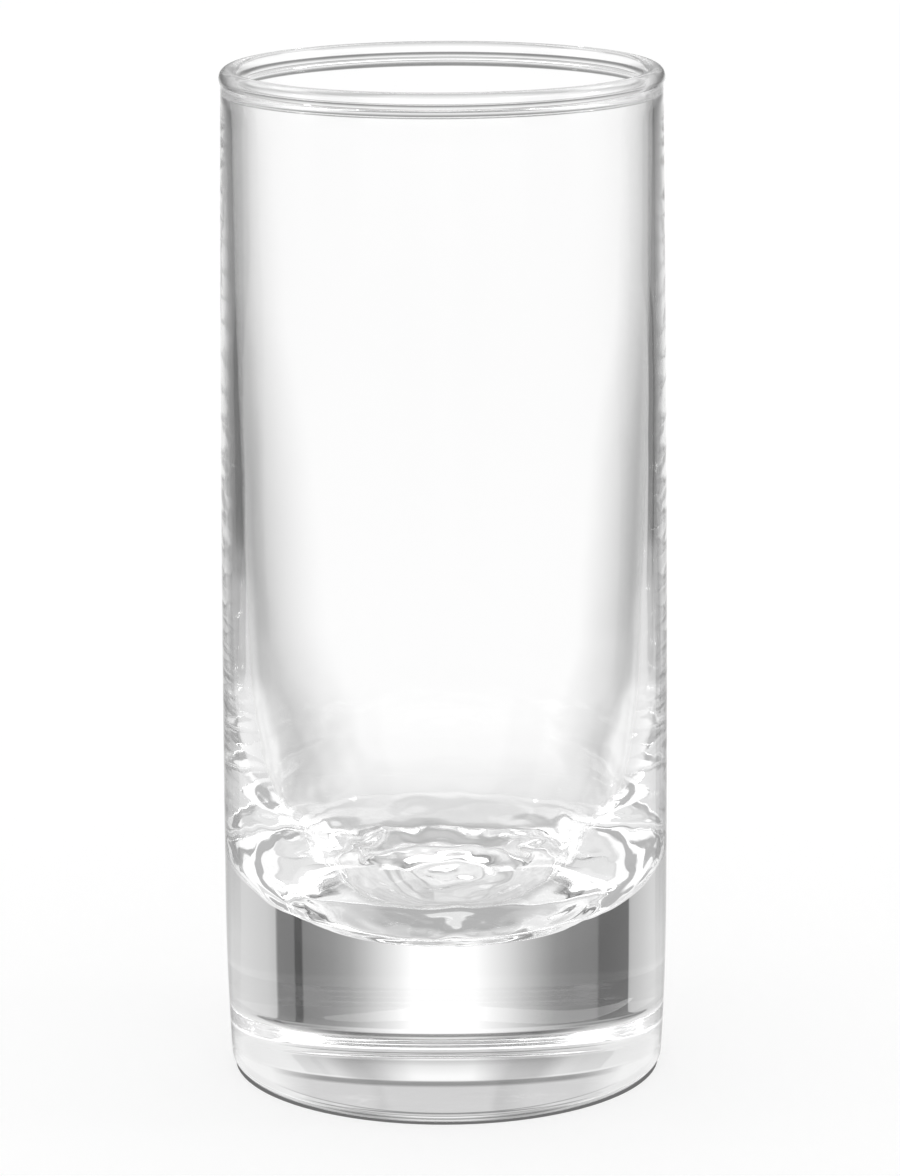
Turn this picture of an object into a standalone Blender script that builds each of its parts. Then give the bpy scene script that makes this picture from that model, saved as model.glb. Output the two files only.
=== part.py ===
"""A straight schnapps glass with a heavy base: one piece of clear glass, turned from a single closed outline.

Metres, +Z up. The origin is on the axis, at the height of the surface that the glass stands on.
"""

import math

import bpy
from mathutils import Vector

# Outside of the glass.
HEIGHT = 0.0870           # from the table to the top of the rim
NECK_RADIUS = 0.0186      # outer radius just under the rim bead
BELLY_RADIUS = 0.0192     # widest outer radius, where the wall swells a little
BELLY_HEIGHT = 0.0150     # height of that widest place
FOOT_RADIUS = 0.01875     # outer radius that the wall would reach at the table
HEEL_RADIUS = 0.0012      # rounding between the wall and the underside

# Rim bead, the remelted edge of the wall.
BEAD_DIAMETER = 0.0017    # thickness of the bead
BEAD_PROUD = 0.00015      # how far the bead stands out past the wall
BEAD_FILLET = 0.0010      # radius of the hollow run from the bead into the wall, outside and inside

# Inside of the glass: the wall thickens downwards and runs into a dished floor.
RIM_WALL = 0.00088        # wall thickness under the bead
SHOULDER_WALL = 0.00215   # wall thickness where it starts to swell towards the base
SHOULDER_RISE = 0.0240    # height of that place above the floor
KNUCKLE_WALL = 0.00560    # wall thickness where it turns into the floor
KNUCKLE_RISE = 0.0060     # height of that place above the floor
KNUCKLE_LEAN = 25.0       # degrees between the surface there and the upright
BASE_THICKNESS = 0.0125   # height of the floor's lowest point above the table

# Pull of each curve towards the direction of its ends, as a share of the distance between them.
SHOULDER_PULL = 0.55
KNUCKLE_PULL = 0.25
FLOOR_EDGE_PULL = 0.30
FLOOR_MIDDLE_PULL = 0.46

# Underside.
BEARING_WIDTH = 0.0044    # width of the flat ring that the glass stands on
LIP_WIDTH = 0.0012        # width of the rounded run from that ring into the hollow inside it
PUNT_RISE = 0.00055       # height of the underside's hollow at the axis

# Fineness of the turned surface.
SEGMENTS = 64             # round the axis
ARC_STEP = 22.5           # degrees between the points of a round edge
CURVE_STEPS = 7           # along each other curve of the outline
LIP_STEPS = 3             # across the lip of the underside's hollow
AXIS_MERGE = 0.00001      # joins the turned points that lie on the axis

GLASS_COLOUR = (0.93, 0.95, 0.95, 1.0)
GLASS_ROUGHNESS = 0.02
GLASS_IOR = 1.52


def clear_scene():
    for thing in list(bpy.data.objects):
        bpy.data.objects.remove(thing, do_unlink=True)


def arc(centre, radius, start, end):
    """Points of a circular arc from one angle to another, in degrees."""
    steps = max(2, math.ceil(abs(end - start) / ARC_STEP))
    points = []
    for step in range(steps + 1):
        angle = math.radians(start + (end - start) * step / steps)
        points.append(centre + radius * Vector((math.cos(angle), math.sin(angle))))
    return points


def curve(first, first_handle, last_handle, last):
    """Points of a cubic curve from one end to the other."""
    points = []
    for step in range(CURVE_STEPS + 1):
        t = step / CURVE_STEPS
        u = 1.0 - t
        first_half = u ** 3 * first + 3.0 * u * u * t * first_handle
        points.append(first_half + 3.0 * u * t * t * last_handle + t ** 3 * last)
    return points


def outer_radius(height, neck_height):
    """Outer radius of the wall at a height: upright at the belly and drawn in above and below it."""
    if height >= BELLY_HEIGHT:
        share = (height - BELLY_HEIGHT) / (neck_height - BELLY_HEIGHT)
        return BELLY_RADIUS - (BELLY_RADIUS - NECK_RADIUS) * share * share
    share = (BELLY_HEIGHT - height) / BELLY_HEIGHT
    return BELLY_RADIUS - (BELLY_RADIUS - FOOT_RADIUS) * share * share


def bead_centre():
    radius = BEAD_DIAMETER / 2.0
    return Vector((NECK_RADIUS + BEAD_PROUD - radius, HEIGHT - radius))


def bead_fillet(wall_radius, side):
    """Centre of the hollow run between the bead and an upright wall: side is 1 outside and -1 inside."""
    bead = bead_centre()
    reach = BEAD_DIAMETER / 2.0 + BEAD_FILLET
    across = wall_radius + side * BEAD_FILLET - bead.x
    return Vector((bead.x + across, bead.y - math.sqrt(reach * reach - across * across)))


def heading(start, end):
    """Direction from one point to another, in degrees."""
    way = end - start
    return math.degrees(math.atan2(way.y, way.x))


def rim_outline():
    """The bead with its hollow runs, from the inner wall over the top to the outer wall."""
    bead = bead_centre()
    radius = BEAD_DIAMETER / 2.0
    inside = bead_fillet(NECK_RADIUS - RIM_WALL, -1)
    outside = bead_fillet(NECK_RADIUS, 1)
    inner_touch = heading(bead, inside) % 360.0
    outer_touch = heading(bead, outside)
    points = arc(inside, BEAD_FILLET, 0.0, inner_touch - 180.0)
    points += arc(bead, radius, inner_touch, 90.0)[1:]
    points += arc(bead, radius, 90.0, outer_touch)[1:]
    points += arc(outside, BEAD_FILLET, outer_touch + 180.0, 180.0)[1:]
    return points


def inner_outline(wall_top, neck_height):
    """The inside of the glass from the middle of the floor up to the rim's inner run."""
    floor = Vector((0.0, BASE_THICKNESS))
    knuckle_height = BASE_THICKNESS + KNUCKLE_RISE
    knuckle = Vector((outer_radius(knuckle_height, neck_height) - KNUCKLE_WALL, knuckle_height))
    shoulder_height = BASE_THICKNESS + SHOULDER_RISE
    shoulder = Vector((outer_radius(shoulder_height, neck_height) - SHOULDER_WALL, shoulder_height))
    lean = math.radians(KNUCKLE_LEAN)
    knuckle_way = Vector((math.sin(lean), math.cos(lean)))
    drop = wall_top.y - shoulder.y
    narrowing = wall_top.x - shoulder.x
    shoulder_way = Vector((2.0 * narrowing / drop, 1.0)).normalized()
    floor_reach = (knuckle - floor).length
    wall_reach = (shoulder - knuckle).length
    floor_handle = floor + Vector((FLOOR_MIDDLE_PULL * floor_reach, 0.0))
    edge_handle = knuckle - FLOOR_EDGE_PULL * floor_reach * knuckle_way
    points = curve(floor, floor_handle, edge_handle, knuckle)
    knuckle_handle = knuckle + KNUCKLE_PULL * wall_reach * knuckle_way
    shoulder_handle = shoulder - SHOULDER_PULL * wall_reach * shoulder_way
    points += curve(knuckle, knuckle_handle, shoulder_handle, shoulder)[1:]
    for step in range(1, CURVE_STEPS):
        share = 1.0 - step / CURVE_STEPS
        points.append(Vector((wall_top.x - narrowing * share * share, wall_top.y - drop * share)))
    return points


def underside_height(radius, bearing_inner):
    """Height of the hollow underside: level where it leaves the bearing ring and at the axis."""
    dome_radius = bearing_inner - LIP_WIDTH
    bend = PUNT_RISE / (dome_radius * bearing_inner)
    if radius > dome_radius:
        return bend * dome_radius * (bearing_inner - radius) ** 2 / LIP_WIDTH
    return bend * (dome_radius * bearing_inner - radius * radius)


def outer_outline(neck_height):
    """The outside of the glass from the rim's outer run down to the middle of the underside."""
    points = []
    foot_lean = math.atan2(2.0 * (BELLY_RADIUS - FOOT_RADIUS), BELLY_HEIGHT)
    heel_top = HEEL_RADIUS * (1.0 - math.sin(foot_lean))
    for top, bottom in ((neck_height, BELLY_HEIGHT), (BELLY_HEIGHT, heel_top)):
        for step in range(1, CURVE_STEPS + 1):
            height = top + (bottom - top) * step / CURVE_STEPS
            points.append(Vector((outer_radius(height, neck_height), height)))
    bearing_outer = points[-1].x - HEEL_RADIUS * math.cos(foot_lean)
    points += arc(Vector((bearing_outer, HEEL_RADIUS)), HEEL_RADIUS, -math.degrees(foot_lean), -90.0)[1:]
    bearing_inner = bearing_outer - BEARING_WIDTH
    dome_radius = bearing_inner - LIP_WIDTH
    hollow = [bearing_inner - LIP_WIDTH * step / LIP_STEPS for step in range(LIP_STEPS)]
    hollow += [dome_radius * (1.0 - step / CURVE_STEPS) for step in range(CURVE_STEPS + 1)]
    points += [Vector((radius, underside_height(radius, bearing_inner))) for radius in hollow]
    return points


def glass_outline():
    """The closed half section: up the inside, over the rim, down the outside and in to the axis."""
    rim = rim_outline()
    return inner_outline(rim[0], rim[-1].y) + rim + outer_outline(rim[-1].y)


def clear_glass():
    material = bpy.data.materials.new("clear_glass")
    material.use_nodes = True
    shader = material.node_tree.nodes["Principled BSDF"]
    shader.inputs["Base Color"].default_value = GLASS_COLOUR
    shader.inputs["Roughness"].default_value = GLASS_ROUGHNESS
    shader.inputs["Metallic"].default_value = 0.0
    shader.inputs["IOR"].default_value = GLASS_IOR
    shader.inputs["Transmission Weight"].default_value = 1.0
    return material


def turned(name, outline, material):
    """An object turned round the Z axis from a half section."""
    mesh = bpy.data.meshes.new(name)
    edges = [(index, index + 1) for index in range(len(outline) - 1)]
    mesh.from_pydata([(point.x, 0.0, point.y) for point in outline], edges, [])
    mesh.materials.append(material)
    thing = bpy.data.objects.new(name, mesh)
    bpy.context.scene.collection.objects.link(thing)
    screw = thing.modifiers.new("turn", "SCREW")
    screw.axis = "Z"
    screw.angle = math.tau
    screw.steps = SEGMENTS
    screw.render_steps = SEGMENTS
    screw.use_merge_vertices = True
    screw.merge_threshold = AXIS_MERGE
    screw.use_smooth_shade = True
    return thing


clear_scene()
turned("glass_body", glass_outline(), clear_glass())
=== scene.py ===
import math

import bmesh
import bpy
from mathutils import Matrix, Vector


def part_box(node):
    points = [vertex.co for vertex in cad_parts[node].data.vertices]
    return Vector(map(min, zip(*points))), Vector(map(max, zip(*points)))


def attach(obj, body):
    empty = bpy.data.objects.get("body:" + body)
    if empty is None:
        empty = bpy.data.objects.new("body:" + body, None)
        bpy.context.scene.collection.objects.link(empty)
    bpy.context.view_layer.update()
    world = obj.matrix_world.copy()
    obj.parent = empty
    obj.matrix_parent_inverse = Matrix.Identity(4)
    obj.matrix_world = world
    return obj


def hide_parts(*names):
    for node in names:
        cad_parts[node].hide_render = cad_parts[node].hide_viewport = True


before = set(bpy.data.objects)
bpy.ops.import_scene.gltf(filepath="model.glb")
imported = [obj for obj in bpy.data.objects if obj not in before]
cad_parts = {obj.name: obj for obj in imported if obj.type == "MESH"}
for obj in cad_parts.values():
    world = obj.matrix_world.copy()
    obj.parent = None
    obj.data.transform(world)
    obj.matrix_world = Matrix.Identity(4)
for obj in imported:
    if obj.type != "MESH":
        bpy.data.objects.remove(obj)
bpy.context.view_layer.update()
glassLow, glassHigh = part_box("glass_body")
mm = 0.001
print("frame loaded, glass", [round(size / mm, 2) for size in glassHigh - glassLow], "mm")


def linearColour(hexColour):  # sRGB hex to the linear colour that shaders take
    channels = [int(hexColour[i:i + 2], 16) / 255 for i in (1, 3, 5)]
    return [c / 12.92 if c <= 0.04045 else ((c + 0.055) / 1.055) ** 2.4 for c in channels] + [1]


def addNode(tree, kind, settings=None, **links):  # links: socket name, or i and its number -> value or output socket
    node = tree.nodes.new(kind)
    for name, value in (settings or {}).items():
        setattr(node, name, value)
    for name, value in links.items():
        socket = node.inputs[int(name[1:]) if name[1:].isdigit() else name.replace("_", " ")]
        if isinstance(value, bpy.types.NodeSocket):
            tree.links.new(value, socket)
        else:
            socket.default_value = value
    return node


# The glass: one half section, turned by a node tree. Lengths in millimetres.
glass = {
    "height": (glassHigh.z - glassLow.z) / mm,
    "belly": (glassHigh.x - glassLow.x) / 2 / mm,  # widest outer radius
    "bellyHeight": 15.0,
    "neck": 18.6,  # outer radius under the rim bead
    "foot": 18.75,  # outer radius that the wall would reach at the table
    "heel": 1.2,  # rounding between wall and underside
    "beadAcross": 1.7,  # fire-polished rim
    "beadProud": 0.15,  # how far it stands out past the wall
    "beadFillet": 1.0,  # hollow runs from it into the wall
    "rimWall": 0.88,
    "shoulderWall": 2.15,  # wall where it starts to swell towards the base
    "shoulderRise": 24.0,  # above the floor of the cup
    "knuckleWall": 5.6,  # wall where it turns into the floor
    "knuckleRise": 6.0,
    "knuckleLean": 25.0,  # degrees from upright
    "floorThickness": 12.5,
    "bearing": 4.4,  # width of the ring it stands on
    "lip": 1.2,  # rounding between that ring and the hollow inside it
    "punt": 0.55,  # rise of the hollow
    # pull of each curve along the direction of its ends, as a share of the distance between them
    "shoulderPull": 0.55, "knucklePull": 0.25, "floorEdgePull": 0.30, "floorMiddlePull": 0.46,
    "rippleHeight": 0.18,  # unevenness that the plunger leaves on the inside
    "rippleAcross": 8.0,
    "rippleRise": 6.0,
    "rippleTop": 0.15,  # share of it that is left in the thin upper wall
    "rippleSeed": 7,
    "ringHeight": 0.3,  # wavy rings that it leaves on the floor of the cup
    "ringSpacing": 3.5,
    "ringWaver": 3.0,
    "ringReach": 9.0,  # height above the floor where they have faded out
    "colour": "#FEFEFE",  # as good as colourless
    "ior": 1.52,  # soda-lime glass
    "hazeAcross": 9.0,  # blotches of wiped-off haze
    "hazeNoise": (0.45, 0.75),  # levels of the noise between which it shows
    "hazeRoughness": 0.035,  # at its most
    "waveAcross": 7.0,  # faint waviness that the fire polish leaves
    "waveHeight": 0.003,
    # fineness: points round the axis, degrees along round edges, points along each run of the section
    "segments": 224, "arcStep": 6.0, "floorSteps": 50, "lowerSteps": 60, "upperSteps": 50,
    "outerSteps": 24, "bearingSteps": 6, "lipSteps": 8, "hollowSteps": 30,
    "join": 0.001,  # merges the seam and the points on the axis
}


def arcPoints(centre, radius, start, end):
    count = max(2, math.ceil(abs(end - start) / glass["arcStep"]))
    angles = [math.radians(start + (end - start) * i / count) for i in range(count + 1)]
    return [centre + radius * Vector((math.cos(a), math.sin(a))) for a in angles]


def curvePoints(first, firstHandle, lastHandle, last, count):
    points = []
    for i in range(count + 1):
        t = i / count
        u = 1 - t
        points.append(u ** 3 * first + 3 * u * u * t * firstHandle + 3 * u * t * t * lastHandle + t ** 3 * last)
    return points


def outerRadius(height, neckHeight):
    if height >= glass["bellyHeight"]:
        share = (height - glass["bellyHeight"]) / (neckHeight - glass["bellyHeight"])
        return glass["belly"] - (glass["belly"] - glass["neck"]) * share * share
    share = (glass["bellyHeight"] - height) / glass["bellyHeight"]
    return glass["belly"] - (glass["belly"] - glass["foot"]) * share * share


def headingOf(start, end):  # degrees
    return math.degrees(math.atan2(end.y - start.y, end.x - start.x))


def rimSection():  # bead and its hollow runs, from the inner wall over the top to the outer wall
    radius = glass["beadAcross"] / 2
    bead = Vector((glass["neck"] + glass["beadProud"] - radius, glass["height"] - radius))
    runs = []
    for wall, side in ((glass["neck"] - glass["rimWall"], -1), (glass["neck"], 1)):
        reach = radius + glass["beadFillet"]
        across = wall + side * glass["beadFillet"] - bead.x
        runs.append(Vector((bead.x + across, bead.y - math.sqrt(reach * reach - across * across))))
    innerTouch = headingOf(bead, runs[0]) % 360
    outerTouch = headingOf(bead, runs[1])
    points = arcPoints(runs[0], glass["beadFillet"], 0, innerTouch - 180)
    points += arcPoints(bead, radius, innerTouch, 90)[1:]
    points += arcPoints(bead, radius, 90, outerTouch)[1:]
    return points + arcPoints(runs[1], glass["beadFillet"], outerTouch + 180, 180)[1:]


def insideSection(wallTop, neckHeight):  # from the middle of the cup's floor up to the rim
    floor = Vector((0, glass["floorThickness"]))
    knuckleHeight = glass["floorThickness"] + glass["knuckleRise"]
    knuckle = Vector((outerRadius(knuckleHeight, neckHeight) - glass["knuckleWall"], knuckleHeight))
    shoulderHeight = glass["floorThickness"] + glass["shoulderRise"]
    shoulder = Vector((outerRadius(shoulderHeight, neckHeight) - glass["shoulderWall"], shoulderHeight))
    lean = math.radians(glass["knuckleLean"])
    knuckleWay = Vector((math.sin(lean), math.cos(lean)))
    rise = wallTop.y - shoulder.y
    opening = wallTop.x - shoulder.x
    shoulderWay = Vector((2 * opening / rise, 1)).normalized()
    floorReach = (knuckle - floor).length
    wallReach = (shoulder - knuckle).length
    points = curvePoints(floor, floor + Vector((glass["floorMiddlePull"] * floorReach, 0)),
                         knuckle - glass["floorEdgePull"] * floorReach * knuckleWay, knuckle, glass["floorSteps"])
    points += curvePoints(knuckle, knuckle + glass["knucklePull"] * wallReach * knuckleWay,
                          shoulder - glass["shoulderPull"] * wallReach * shoulderWay, shoulder,
                          glass["lowerSteps"])[1:]
    for i in range(1, glass["upperSteps"]):
        share = 1 - i / glass["upperSteps"]
        points.append(Vector((wallTop.x - opening * share * share, wallTop.y - rise * share)))
    return points


def outsideSection(neckHeight):  # from the rim down to the middle of the underside
    points = []
    lean = math.atan2(2 * (glass["belly"] - glass["foot"]), glass["bellyHeight"])
    heelTop = glass["heel"] * (1 - math.sin(lean))
    for top, bottom in ((neckHeight, glass["bellyHeight"]), (glass["bellyHeight"], heelTop)):
        for i in range(1, glass["outerSteps"] + 1):
            height = top + (bottom - top) * i / glass["outerSteps"]
            points.append(Vector((outerRadius(height, neckHeight), height)))
    heel = Vector((points[-1].x - glass["heel"] * math.cos(lean), glass["heel"]))
    points += arcPoints(heel, glass["heel"], -math.degrees(lean), -90)[1:]
    ring = heel.x - glass["bearing"]
    dome = ring - glass["lip"]
    bend = glass["punt"] / (dome * ring)
    for i in range(1, glass["bearingSteps"] + 1):
        points.append(Vector((heel.x + (ring - heel.x) * i / glass["bearingSteps"], 0)))
    for i in range(1, glass["lipSteps"] + 1):
        away = glass["lip"] * i / glass["lipSteps"]
        points.append(Vector((ring - away, bend * dome * away * away / glass["lip"])))
    for i in range(1, glass["hollowSteps"] + 1):
        radius = dome * (1 - i / glass["hollowSteps"])
        points.append(Vector((radius, bend * (dome * ring - radius * radius))))
    return points


def turnedGlassTree():  # turns a half section round Z and ripples its inside
    tree = bpy.data.node_groups.new("turnedGlass", "GeometryNodeTree")
    sockets = {
        "NodeSocketGeometry": ["Section"],
        "NodeSocketInt": ["Segments", "Inside Points"],
        "NodeSocketFloat": ["Ripple Height", "Upper Ripple", "Shoulder Height", "Ring Height", "Ring Spacing",
                            "Ring Waver", "Floor Height", "Wall Height", "Ripple Seed"],
        "NodeSocketVector": ["Ripple Spacing"],
        "NodeSocketMaterial": ["Glass"],
    }
    inputs = {}
    for kind, names in sockets.items():
        for name in names:
            inputs[name] = tree.interface.new_socket(name, in_out="INPUT", socket_type=kind).identifier
    tree.interface.new_socket("Geometry", in_out="OUTPUT", socket_type="NodeSocketGeometry")
    entry = addNode(tree, "NodeGroupInput").outputs

    # a grid with the section's points along X and the turn along Y, wrapped round Z
    count = addNode(tree, "GeometryNodeAttributeDomainSize", Geometry=entry["Section"])
    rows = addNode(tree, "FunctionNodeIntegerMath", {"operation": "ADD"}, i0=entry["Segments"], i1=1)
    grid = addNode(tree, "GeometryNodeMeshGrid", Vertices_X=count.outputs["Point Count"], Vertices_Y=rows.outputs[0])
    index = addNode(tree, "GeometryNodeInputIndex")
    place = addNode(tree, "FunctionNodeIntegerMath", {"operation": "DIVIDE_FLOOR"},
                    i0=index.outputs[0], i1=rows.outputs[0])
    step = addNode(tree, "FunctionNodeIntegerMath", {"operation": "MODULO"}, i0=index.outputs[0], i1=rows.outputs[0])
    turn = addNode(tree, "ShaderNodeMath", {"operation": "DIVIDE"}, i0=step.outputs[0], i1=entry["Segments"])
    angle = addNode(tree, "ShaderNodeMath", {"operation": "MULTIPLY"}, i0=turn.outputs[0], i1=math.tau)
    position = addNode(tree, "GeometryNodeInputPosition")
    sample = addNode(tree, "GeometryNodeSampleIndex", {"data_type": "FLOAT_VECTOR"}, Geometry=entry["Section"],
                     Value=position.outputs[0], Index=place.outputs[0])
    turned = addNode(tree, "ShaderNodeVectorRotate", {"rotation_type": "Z_AXIS"},
                     Vector=sample.outputs[0], Angle=angle.outputs[0])
    wrapped = addNode(tree, "GeometryNodeSetPosition", Geometry=grid.outputs["Mesh"], Position=turned.outputs[0])
    within = addNode(tree, "FunctionNodeCompare", {"data_type": "INT", "operation": "LESS_THAN"},
                     i2=place.outputs[0], i3=entry["Inside Points"])
    marked = addNode(tree, "GeometryNodeStoreNamedAttribute", {"data_type": "FLOAT", "domain": "POINT"},
                     Geometry=wrapped.outputs[0], Name="inside", Value=within.outputs[0])
    joined = addNode(tree, "GeometryNodeMergeByDistance", Geometry=marked.outputs[0], Distance=glass["join"] * mm)
    inside = addNode(tree, "GeometryNodeInputNamedAttribute", {"data_type": "FLOAT"}, Name="inside")

    # ripples, fading upwards
    spaced = addNode(tree, "ShaderNodeVectorMath", {"operation": "DIVIDE"},
                     i0=position.outputs[0], i1=entry["Ripple Spacing"])
    noise = addNode(tree, "ShaderNodeTexNoise", {"noise_dimensions": "4D"}, Vector=spaced.outputs[0],
                    W=entry["Ripple Seed"], Scale=1.0, Detail=2.0)
    middle = addNode(tree, "ShaderNodeMath", {"operation": "SUBTRACT"}, i0=noise.outputs[0], i1=0.5)  # to both sides
    level = addNode(tree, "ShaderNodeSeparateXYZ", Vector=position.outputs[0])
    fade = addNode(tree, "ShaderNodeMapRange", {"interpolation_type": "SMOOTHSTEP"}, Value=level.outputs["Z"],
                   From_Min=entry["Wall Height"], From_Max=entry["Shoulder Height"],
                   To_Min=1.0, To_Max=entry["Upper Ripple"])
    faded = addNode(tree, "ShaderNodeMath", {"operation": "MULTIPLY"}, i0=middle.outputs[0], i1=fade.outputs[0])
    height = addNode(tree, "ShaderNodeMath", {"operation": "MULTIPLY"}, i0=faded.outputs[0], i1=entry["Ripple Height"])

    # rings on the floor; a wave texture's rings lie tau / 20 / scale apart
    ringScale = addNode(tree, "ShaderNodeMath", {"operation": "DIVIDE"}, i0=math.tau / 20, i1=entry["Ring Spacing"])
    rings = addNode(tree, "ShaderNodeTexWave", {"wave_type": "RINGS", "rings_direction": "Z"},
                    Vector=position.outputs[0], Scale=ringScale.outputs[0], Distortion=entry["Ring Waver"],
                    Detail=1.0, Detail_Scale=3.0)
    onFloor = addNode(tree, "ShaderNodeMapRange", {"interpolation_type": "SMOOTHSTEP"}, Value=level.outputs["Z"],
                      From_Min=entry["Wall Height"], From_Max=entry["Floor Height"])
    ringRise = addNode(tree, "ShaderNodeMath", {"operation": "MULTIPLY"},
                       i0=onFloor.outputs[0], i1=entry["Ring Height"])
    both = addNode(tree, "ShaderNodeMath", {"operation": "MULTIPLY_ADD"},
                   i0=rings.outputs["Fac"], i1=ringRise.outputs[0], i2=height.outputs[0])
    kept = addNode(tree, "ShaderNodeMath", {"operation": "MULTIPLY"}, i0=both.outputs[0], i1=inside.outputs[0])
    normal = addNode(tree, "GeometryNodeInputNormal")
    push = addNode(tree, "ShaderNodeVectorMath", {"operation": "SCALE"}, i0=normal.outputs[0], Scale=kept.outputs[0])
    rippled = addNode(tree, "GeometryNodeSetPosition", Geometry=joined.outputs[0], Offset=push.outputs[0])

    smooth = addNode(tree, "GeometryNodeSetShadeSmooth", Geometry=rippled.outputs[0], Shade_Smooth=True)
    real = addNode(tree, "GeometryNodeRealizeInstances", Geometry=smooth.outputs[0])
    finish = addNode(tree, "GeometryNodeSetMaterial", Geometry=real.outputs[0], Material=entry["Glass"])
    addNode(tree, "NodeGroupOutput", Geometry=finish.outputs[0])
    return tree, inputs


# Pressed and fire-polished soda-lime glass: clear and glossy, faintly wavy, with a trace of wiped-off haze.
def pressedGlass():
    material = bpy.data.materials.new("fire_polished_soda_lime_glass")
    material.use_nodes = True
    tree = material.node_tree
    shader = tree.nodes["Principled BSDF"]
    shader.inputs["Base Color"].default_value = linearColour(glass["colour"])
    shader.inputs["IOR"].default_value = glass["ior"]
    shader.inputs["Transmission Weight"].default_value = 1.0
    place = addNode(tree, "ShaderNodeTexCoord").outputs["Object"]
    haze = addNode(tree, "ShaderNodeTexNoise", Vector=place, Scale=1 / (glass["hazeAcross"] * mm),
                   Detail=4.0, Roughness=0.6)
    hazeLow, hazeHigh = glass["hazeNoise"]
    wiped = addNode(tree, "ShaderNodeMapRange", Value=haze.outputs[0], From_Min=hazeLow, From_Max=hazeHigh,
                    To_Min=0.0, To_Max=glass["hazeRoughness"])
    tree.links.new(wiped.outputs[0], shader.inputs["Roughness"])
    waves = addNode(tree, "ShaderNodeTexNoise", Vector=place, Scale=1 / (glass["waveAcross"] * mm), Detail=1.0)
    bump = addNode(tree, "ShaderNodeBump", Height=waves.outputs[0], Strength=1.0, Distance=glass["waveHeight"] * mm)
    tree.links.new(bump.outputs[0], shader.inputs["Normal"])
    return material


def makeGlass():
    rim = rimSection()
    inside = insideSection(rim[0], rim[-1].y)
    section = inside + rim + outsideSection(rim[-1].y)
    mesh = bpy.data.meshes.new("schnapps_glass")
    edges = [(i, i + 1) for i in range(len(section) - 1)]
    mesh.from_pydata([(p.x * mm, 0, p.y * mm) for p in section], edges, [])
    piece = bpy.data.objects.new("schnapps_glass", mesh)
    bpy.context.scene.collection.objects.link(piece)
    tree, inputs = turnedGlassTree()
    modifier = piece.modifiers.new("turnedGlass", "NODES")
    modifier.node_group = tree
    values = {
        "Segments": glass["segments"],
        "Inside Points": len(inside),
        "Ripple Height": glass["rippleHeight"] * mm,
        "Upper Ripple": glass["rippleTop"],
        "Shoulder Height": (glass["floorThickness"] + glass["shoulderRise"]) * mm,
        "Ring Height": glass["ringHeight"] * mm,
        "Ring Spacing": glass["ringSpacing"] * mm,
        "Ring Waver": glass["ringWaver"],
        "Floor Height": glass["floorThickness"] * mm,
        "Wall Height": (glass["floorThickness"] + glass["ringReach"]) * mm,
        "Ripple Spacing": (glass["rippleAcross"] * mm, glass["rippleAcross"] * mm, glass["rippleRise"] * mm),
        "Ripple Seed": float(glass["rippleSeed"]),
        "Glass": pressedGlass(),
    }
    for name, value in values.items():
        modifier[inputs[name]] = value
    solid = bpy.data.meshes.new_from_object(piece.evaluated_get(bpy.context.evaluated_depsgraph_get()))
    piece.modifiers.remove(modifier)
    piece.data = solid
    shell = bmesh.new()
    shell.from_mesh(solid)
    bmesh.ops.remove_doubles(shell, verts=shell.verts, dist=glass["join"] * mm)
    bmesh.ops.recalc_face_normals(shell, faces=shell.faces)
    shell.to_mesh(solid)
    shell.free()
    return piece


schnappsGlass = makeGlass()
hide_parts("glass_body")
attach(schnappsGlass, "root")
print("glass turned:", len(schnappsGlass.data.vertices), "points,", len(schnappsGlass.data.polygons), "faces")

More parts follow.
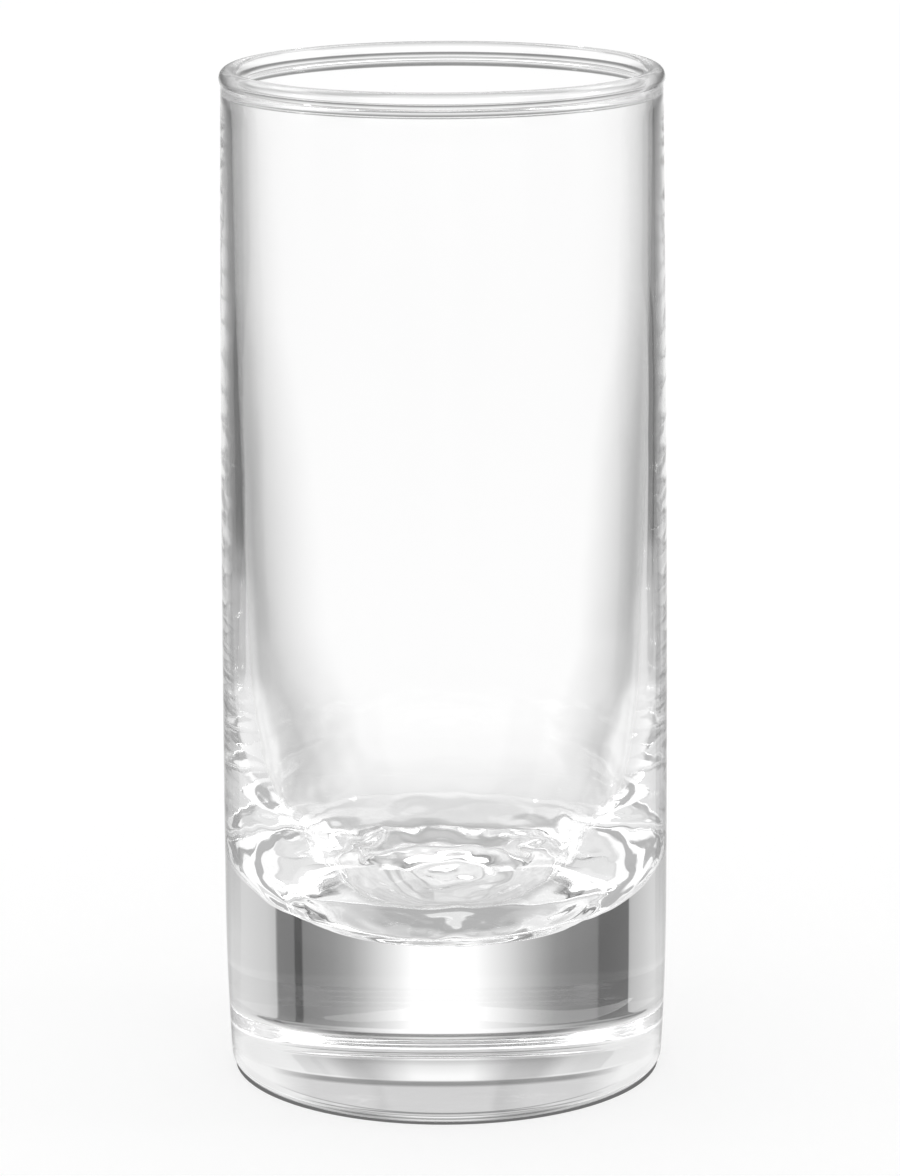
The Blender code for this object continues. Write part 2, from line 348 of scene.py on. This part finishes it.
# The studio: white paper under and behind, two dark flags beside the background that draw the glass's edges.
studio = {
    "floorAcross": 6.0,  # metres
    "floorColour": "#A0A0A0",
    "floorGlow": 0.65,  # lifts the floor to white for the camera and keeps a third of the shadow
    # degrees round from straight behind the glass, + to the right, and the light there: background with its dark flags
    "flags": [(-80, 0.76), (-60, 0.64), (-47, 0.46), (-45.6, 0.40), (-45, 0.06), (-33.2, 0.06), (-32.4, 0.15),
              (-25, 0.18), (-21, 0.23), (-18, 0.34), (-14, 0.53), (-11, 0.71), (-8, 0.87), (-5.2, 1.04), (6.3, 1.04),
              (9, 0.85), (12, 0.67), (15, 0.49), (18, 0.34), (22, 0.24), (26, 0.19), (30, 0.16), (30.4, 0.02),
              (32.6, 0.02), (33, 0.13), (39.2, 0.13), (39.8, 0.50), (44, 0.58), (56, 0.65), (80, 0.76)],
    # the same for the floor under them, with a pool of light and soft shadows beside it
    "floor": [(-70, 0.82), (-45, 0.93), (-28, 0.93), (-22, 0.62), (-14, 0.54), (-11, 0.66), (-8.5, 0.80),
              (-6.5, 0.90), (-4.5, 1.04), (6.5, 1.04), (8, 0.95), (9.5, 0.88), (12, 0.80), (14.5, 0.68), (18, 0.58),
              (22, 0.64), (28, 0.95), (45, 0.95), (70, 0.82)],
    # degrees above the horizon: how much narrower both get there than at the foot of the background
    "narrow": [(-28, 1.65), (-22, 1.4), (-18.5, 1.1), (-17, 1), (-13.6, 1), (-11.6, 0.8), (-8, 0.82), (25, 1.43)],
    # most light of the floor and of the ceiling, and how far they hide the background
    "height": [(-90, 1.1), (-84, 1.0), (-80, 0.46), (-68, 0.44), (-60, 0.58), (-45, 0.72), (-36, 0.84), (-28, 1.0),
               (-22, 1.04), (-19, 1.04), (20.3, 0.95), (21.3, 0.62), (39, 0.66), (42, 0.25), (72, 0.25), (80, 0.45),
               (90, 0.45)],
    "hide": [(-20.5, 1), (-18.6, 0.55), (-17.2, 0.42), (-16.3, 0.05), (-16, 0), (-15, 0), (-13.6, 0.05), (-12.2, 0.2),
             (-11, 0.24), (-9.6, 0.13), (-8.8, 0.05), (-7, 0.05), (-3, 0.35), (5, 0.6), (19.6, 0.7), (20.5, 1)],
    # level bands across it: light times this by degrees up, and degrees to the sides where they begin and are full
    "bands": [([(-4, 1), (-1.5, 0.28), (3, 0.22), (7, 0.35), (12, 0.8), (18, 1)], 34, 16),
              ([(20.3, 1), (21, 0.42), (22.6, 0.42), (23.8, 1)], 45, 25),
              ([(20.8, 1), (21.6, 1.4), (38, 1.4), (39, 1)], 30, 45)],
    # the room on the camera's side: degrees round where it begins and is full, its light by degrees round,
    # and how much it shows by degrees up
    "roomEdge": (80.0, 88.0),
    "room": [(85, 0.66), (88, 1.05), (108, 1.05), (112, 0.45), (134, 0.45), (140, 1.15), (180, 1.15)],
    "roomShows": [(-8, 0), (-3, 1), (36, 1), (39, 0)],
    # ring of soft light overhead: degrees up of its middle, half width, soft edge, light
    "ring": (45.5, 6.5, 3, 2.4),
    # sickles of painted shade and painted light on the floor, in millimetres: radius to the sides and to the front,
    # width, degrees round from the camera of both ends, light, seen by the camera
    "sickles": [(18.15, 18.15, 0.8, -180, 180, 0.16, True),  # painted shade: a dark line in the gap under the heel
                (38.0, 46.5, 4.5, -58, 90, 2.6, False)],  # painted pool of light that the glass throws in front of itself, seen only mirrored in its base
    "sickleSteps": 96,
    "sickleLift": 0.01,  # millimetres above the floor
    # small lamps to both sides, for glints on the wall behind the bowl: degrees round, degrees up, metres away,
    # metres across, light of the face
    "lamps": [(92, 27.5, 1.2, 0.16, 7.0), (-98, 24, 1.2, 0.12, 8.0)],
}


def levelByDegrees(tree, stops, value):  # light or share at an angle, from a list of pairs of both
    low, high = stops[0][0], stops[-1][0]
    share = addNode(tree, "ShaderNodeMapRange", Value=value, From_Min=low, From_Max=high)
    band = addNode(tree, "ShaderNodeValToRGB", Fac=share.outputs[0])
    points = band.color_ramp.elements
    while len(points) < len(stops):
        points.new(0.5)
    for point, (degrees, level) in zip(points, stops):
        point.position = (degrees - low) / (high - low)
        point.color = (level, level, level, 1)
    return band.outputs["Color"]


def makeFloor():
    mesh = bpy.data.meshes.new("floor")
    half = studio["floorAcross"] / 2
    mesh.from_pydata([(-half, -half, 0), (half, -half, 0), (half, half, 0), (-half, half, 0)], [], [(0, 1, 2, 3)])
    floor = bpy.data.objects.new("floor", mesh)
    bpy.context.scene.collection.objects.link(floor)
    paper = bpy.data.materials.new("matt_white_paper")  # even and without gloss, takes the soft shadow
    paper.use_nodes = True
    tree = paper.node_tree
    tree.nodes.clear()
    path = addNode(tree, "ShaderNodeLightPath")
    glow = addNode(tree, "ShaderNodeMath", {"operation": "MULTIPLY"},
                   i0=path.outputs["Is Camera Ray"], i1=studio["floorGlow"])
    matt = addNode(tree, "ShaderNodeBsdfDiffuse", Color=linearColour(studio["floorColour"]))
    light = addNode(tree, "ShaderNodeEmission", Strength=glow.outputs[0])
    both = addNode(tree, "ShaderNodeAddShader", i0=matt.outputs[0], i1=light.outputs[0])
    addNode(tree, "ShaderNodeOutputMaterial", Surface=both.outputs[0])
    mesh.materials.append(paper)
    floor.visible_glossy = False  # the glass shows the world's floor instead
    floor.visible_transmission = False


def makeSickles():
    count = studio["sickleSteps"]
    for aside, front, width, start, end, level, seen in studio["sickles"]:
        points = []
        for i in range(count + 1):
            angle = math.radians(start + (end - start) * i / count)
            half = width / 2 * math.sqrt(math.sin(math.pi * i / count))  # pointed at both ends
            for off in (-half, half):
                points.append(((aside + off) * mm * math.sin(angle), -(front + off) * mm * math.cos(angle),
                               studio["sickleLift"] * mm))
        mesh = bpy.data.meshes.new("paintedSickle")
        mesh.from_pydata(points, [], [(2 * i, 2 * i + 1, 2 * i + 3, 2 * i + 2) for i in range(count)])
        paintedSickle = bpy.data.objects.new("paintedSickle", mesh)
        bpy.context.scene.collection.objects.link(paintedSickle)
        # the same paper, with painted light where the glass throws light on it and painted shade where it hides it
        # from the light: a bright or a dark line
        paper = bpy.data.materials.new("painted_light_paper" if level > 1 else "painted_shade_paper")
        paper.use_nodes = True
        tree = paper.node_tree
        tree.nodes.clear()
        light = addNode(tree, "ShaderNodeEmission", Strength=level)
        addNode(tree, "ShaderNodeOutputMaterial", Surface=light.outputs[0])
        mesh.materials.append(paper)
        paintedSickle.visible_camera = seen
        paintedSickle.visible_diffuse = False
        paintedSickle.visible_transmission = False
        paintedSickle.visible_shadow = False


def makeWorld():  # in its Mix nodes, inputs 6 and 7 are the two colours and output 2 is the mixed one
    world = bpy.data.worlds.new("studio")
    bpy.context.scene.world = world
    world.use_nodes = True
    tree = world.node_tree
    tree.nodes.clear()
    inColour = {"data_type": "RGBA"}

    # degrees up and degrees round of the ray
    way = addNode(tree, "ShaderNodeSeparateXYZ", Vector=addNode(tree, "ShaderNodeTexCoord").outputs["Generated"])
    lift = addNode(tree, "ShaderNodeMath", {"operation": "ARCSINE"}, i0=way.outputs["Z"])
    up = addNode(tree, "ShaderNodeMath", {"operation": "DEGREES"}, i0=lift.outputs[0])
    spin = addNode(tree, "ShaderNodeMath", {"operation": "ARCTAN2"}, i0=way.outputs["X"], i1=way.outputs["Y"])
    side = addNode(tree, "ShaderNodeMath", {"operation": "DEGREES"}, i0=spin.outputs[0])
    away = addNode(tree, "ShaderNodeMath", {"operation": "ABSOLUTE"}, i0=side.outputs[0])
    turn = addNode(tree, "ShaderNodeMath", {"operation": "MULTIPLY"}, i0=side.outputs[0],
                   i1=levelByDegrees(tree, studio["narrow"], up.outputs[0]))

    # background, floor and ceiling
    flags = levelByDegrees(tree, studio["flags"], turn.outputs[0])
    sweep = addNode(tree, "ShaderNodeMath", {"operation": "MINIMUM"},
                    i0=levelByDegrees(tree, studio["floor"], turn.outputs[0]),
                    i1=levelByDegrees(tree, studio["height"], up.outputs[0]))
    hidden = levelByDegrees(tree, studio["hide"], up.outputs[0])
    plain = addNode(tree, "ShaderNodeMix", inColour, i0=hidden, i6=flags, i7=sweep.outputs[0])
    for stops, end, full in studio["bands"]:
        near = addNode(tree, "ShaderNodeMapRange", Value=away.outputs[0], From_Min=end, From_Max=full)
        plain = addNode(tree, "ShaderNodeMix", {"data_type": "RGBA", "blend_type": "MULTIPLY"}, i0=near.outputs[0],
                        i6=plain.outputs[2], i7=levelByDegrees(tree, stops, up.outputs[0]))

    # room behind the camera, and ring overhead
    edge, full = studio["roomEdge"]
    behind = addNode(tree, "ShaderNodeMapRange", Value=away.outputs[0], From_Min=edge, From_Max=full)
    there = addNode(tree, "ShaderNodeMath", {"operation": "MULTIPLY"},
                    i0=levelByDegrees(tree, studio["roomShows"], up.outputs[0]), i1=behind.outputs[0])
    plain = addNode(tree, "ShaderNodeMix", inColour, i0=there.outputs[0], i6=plain.outputs[2],
                    i7=levelByDegrees(tree, studio["room"], away.outputs[0]))
    ringUp, ringHalf, ringSoft, ringLight = studio["ring"]
    off = addNode(tree, "ShaderNodeMath", {"operation": "SUBTRACT"}, i0=up.outputs[0], i1=ringUp)
    far = addNode(tree, "ShaderNodeMath", {"operation": "ABSOLUTE"}, i0=off.outputs[0])
    inRing = addNode(tree, "ShaderNodeMapRange", Value=far.outputs[0],
                     From_Min=ringHalf + ringSoft / 2, From_Max=ringHalf - ringSoft / 2)
    around = addNode(tree, "ShaderNodeMix", inColour, i0=inRing.outputs[0], i6=plain.outputs[2],
                     i7=(ringLight, ringLight, ringLight, 1))

    # only the glass shows all this, the camera and the floor meet plain white
    path = addNode(tree, "ShaderNodeLightPath")
    through = addNode(tree, "ShaderNodeMath", {"operation": "MAXIMUM"}, i0=path.outputs["Is Glossy Ray"],
                      i1=path.outputs["Is Transmission Ray"])
    shown = addNode(tree, "ShaderNodeMix", inColour, i0=through.outputs[0], i6=(1, 1, 1, 1), i7=around.outputs[2])
    light = addNode(tree, "ShaderNodeBackground", Color=shown.outputs[2], Strength=1.0)
    addNode(tree, "ShaderNodeOutputWorld", Surface=light.outputs[0])


def makeLamps():
    for aside, up, away, across, level in studio["lamps"]:
        lamp = bpy.data.lights.new("softLamp", "AREA")
        lamp.size = across
        lamp.energy = level * math.pi * across * across  # watts that give the face that light
        thing = bpy.data.objects.new("softLamp", lamp)
        a, e = math.radians(aside), math.radians(up)
        way = Vector((math.sin(a) * math.cos(e), math.cos(a) * math.cos(e), math.sin(e)))
        thing.location = way * away
        thing.rotation_euler = way.to_track_quat("Z", "Y").to_euler()
        bpy.context.scene.collection.objects.link(thing)


makeFloor()
makeSickles()
makeWorld()
makeLamps()
print("studio set")

# The camera, at the angle of the photograph.
view = {
    "place": (0.0, -0.4103, 0.1367),  # metres
    "tilt": 77.013,  # degrees up from straight down
    "roll": -0.3,
    "focalLength": 4903,  # in pixels of the picture
    "pictureHeight": 1176,
    "sensor": 36,  # millimetres
    "shift": 0.0047,
    "nearest": 0.01,  # metres, nothing closer is drawn
    "bounces": 96,  # fewer leave black dashes at the wall's edges, where light runs along inside the wall
}


def makeCamera():
    camera = bpy.data.cameras.new("camera")
    camera.lens = view["focalLength"] * view["sensor"] / view["pictureHeight"]
    camera.sensor_width = view["sensor"]
    camera.shift_x = view["shift"]
    camera.clip_start = view["nearest"]
    thing = bpy.data.objects.new("camera", camera)
    thing.location = view["place"]
    tilt = Matrix.Rotation(math.radians(view["tilt"]), 3, "X")
    thing.rotation_euler = (tilt @ Matrix.Rotation(math.radians(view["roll"]), 3, "Z")).to_euler()
    bpy.context.scene.collection.objects.link(thing)
    bpy.context.scene.camera = thing
    bpy.context.scene.view_settings.view_transform = "Standard"
    for kind in ("max_bounces", "glossy_bounces", "transmission_bounces"):
        setattr(bpy.context.scene.cycles, kind, view["bounces"])


makeCamera()
print("camera set")
